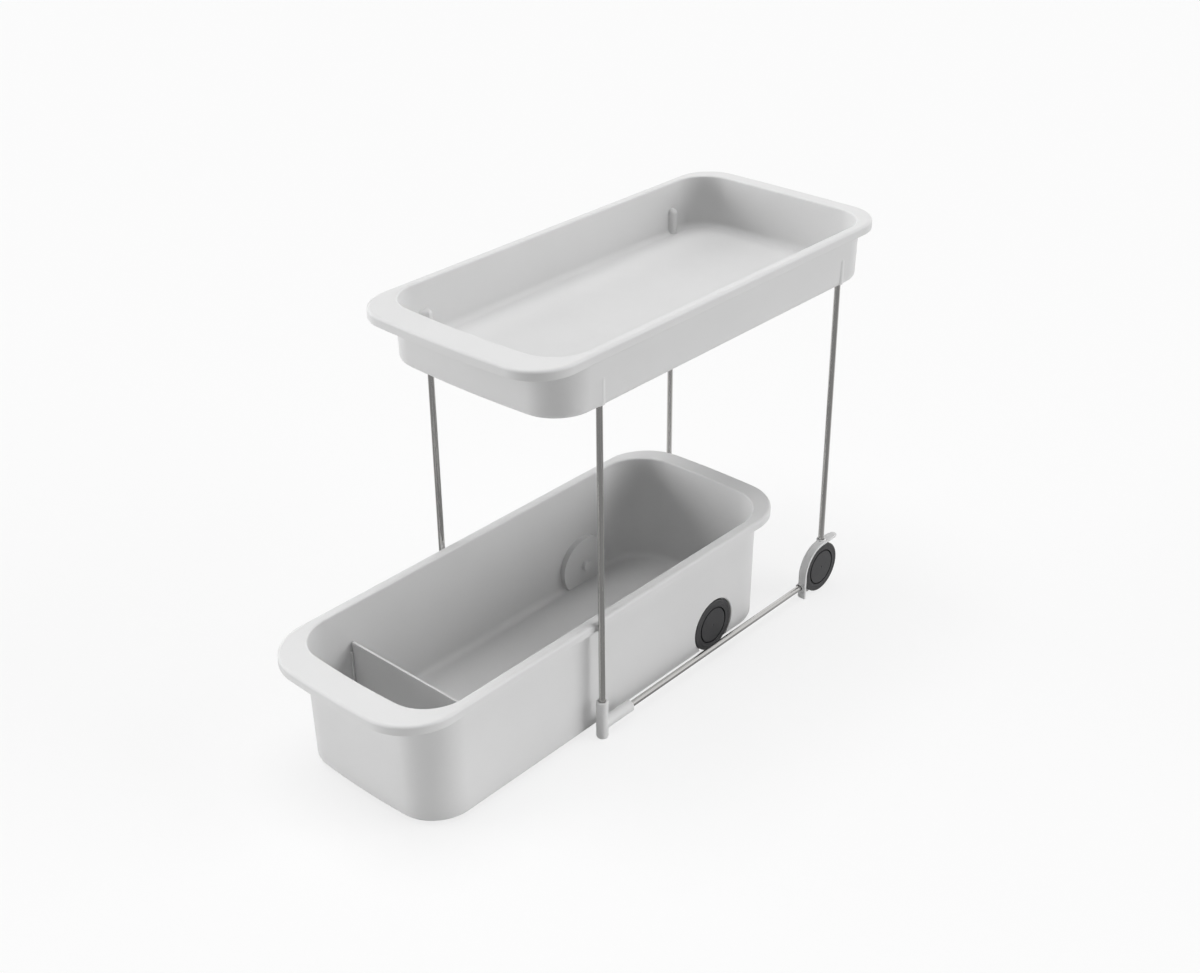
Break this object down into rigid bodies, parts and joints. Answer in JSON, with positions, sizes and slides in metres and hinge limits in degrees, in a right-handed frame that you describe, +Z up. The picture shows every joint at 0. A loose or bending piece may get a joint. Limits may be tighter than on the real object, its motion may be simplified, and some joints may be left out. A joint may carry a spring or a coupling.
{
  "type": "two-tier storage caddy",
  "caption": "Under-sink caddy with a shallow tray on thin steel legs above a deep wheeled bin that rolls out between them.",
  "frame": {"origin": "on the floor, in the middle of the whole caddy with its bin rolled out as pictured", "axes": "+X is the caddy's right side, +Y its back, along the bin's travel, +Z up"},
  "size_m": [0.1862, 0.523, 0.326],
  "materials": {
    "light_grey_plastic": "satin",
    "steel_rod": "satin",
    "pin_steel": "satin",
    "tyre_rubber": "matt",
    "charcoal_plastic": "satin"
  },
  "bodies": {
    "frame": {"upper_tray": "light_grey_plastic", "front_left_leg": "steel_rod", "front_right_leg": "steel_rod", "rear_left_leg": "steel_rod", "rear_right_leg": "steel_rod", "left_rail": "steel_rod", "right_rail": "steel_rod", "front_left_foot": "light_grey_plastic", "front_right_foot": "light_grey_plastic", "rear_left_housing": "light_grey_plastic", "rear_right_housing": "light_grey_plastic", "rear_left_axle": "pin_steel", "rear_right_axle": "pin_steel"},
    "bin": {"lower_bin": "light_grey_plastic", "bin_left_axle": "pin_steel", "bin_right_axle": "pin_steel"},
    "divider": {"bin_divider": "light_grey_plastic"},
    "rear_left_wheel": {"rear_left_tyre": "tyre_rubber", "rear_left_hub": "charcoal_plastic", "rear_left_hub_cap": "charcoal_plastic"},
    "rear_right_wheel": {"rear_right_tyre": "tyre_rubber", "rear_right_hub": "charcoal_plastic", "rear_right_hub_cap": "charcoal_plastic"},
    "bin_left_wheel": {"bin_left_tyre": "tyre_rubber", "bin_left_hub": "charcoal_plastic", "bin_left_hub_cap": "charcoal_plastic"},
    "bin_right_wheel": {"bin_right_tyre": "tyre_rubber", "bin_right_hub": "charcoal_plastic", "bin_right_hub_cap": "charcoal_plastic"}
  },
  "joints": [
    {"name": "bin_slide", "type": "slide", "parent": "frame", "child": "bin", "axis": [0, -1, 0], "range_m": [-0.094, 0.13]},
    {"name": "divider_lift", "type": "slide", "parent": "bin", "child": "divider", "axis": [0, 0, 1], "range_m": [0, 0.06]},
    {"name": "rear_left_roll", "type": "hinge", "parent": "frame", "child": "rear_left_wheel", "pos_m": [-0.085, 0.206, 0.0221], "axis": [1, 0, 0], "continuous": true},
    {"name": "rear_right_roll", "type": "hinge", "parent": "frame", "child": "rear_right_wheel", "pos_m": [0.085, 0.206, 0.0221], "axis": [1, 0, 0], "continuous": true},
    {"name": "bin_left_roll", "type": "hinge", "parent": "bin", "child": "bin_left_wheel", "pos_m": [-0.07, 0.0753, 0.0221], "axis": [1, 0, 0], "continuous": true},
    {"name": "bin_right_roll", "type": "hinge", "parent": "bin", "child": "bin_right_wheel", "pos_m": [0.07, 0.0753, 0.0221], "axis": [1, 0, 0], "continuous": true}
  ]
}
